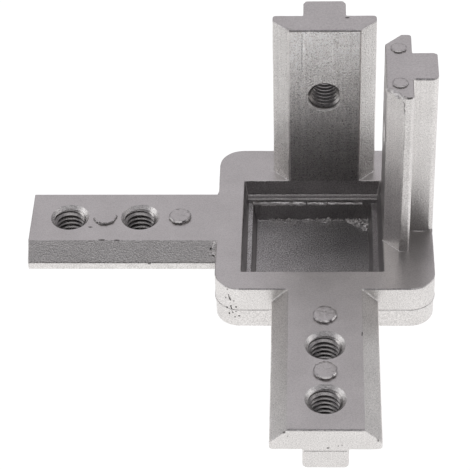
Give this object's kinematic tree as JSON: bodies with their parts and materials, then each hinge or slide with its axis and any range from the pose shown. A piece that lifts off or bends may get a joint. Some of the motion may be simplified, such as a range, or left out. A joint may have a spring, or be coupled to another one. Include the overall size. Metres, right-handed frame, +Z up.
{
  "type": "angle connector",
  "caption": "Die-cast corner connector: T-shaped flat and upright tongues on a square pocketed hub slide into slotted framing profiles and lock with set screws.",
  "frame": {"origin": "centre of the hub's underside", "axes": "+Z up along the uprights, flat arms towards -X and -Y, uprights on the +X and +Y sides"},
  "size_m": [0.075, 0.075, 0.0446],
  "materials": {
    "cast_aluminium": "shot-blasted die casting, matte with a fine grain"
  },
  "bodies": {
    "root": {"connector_casting": "cast_aluminium"}
  },
  "joints": []
}
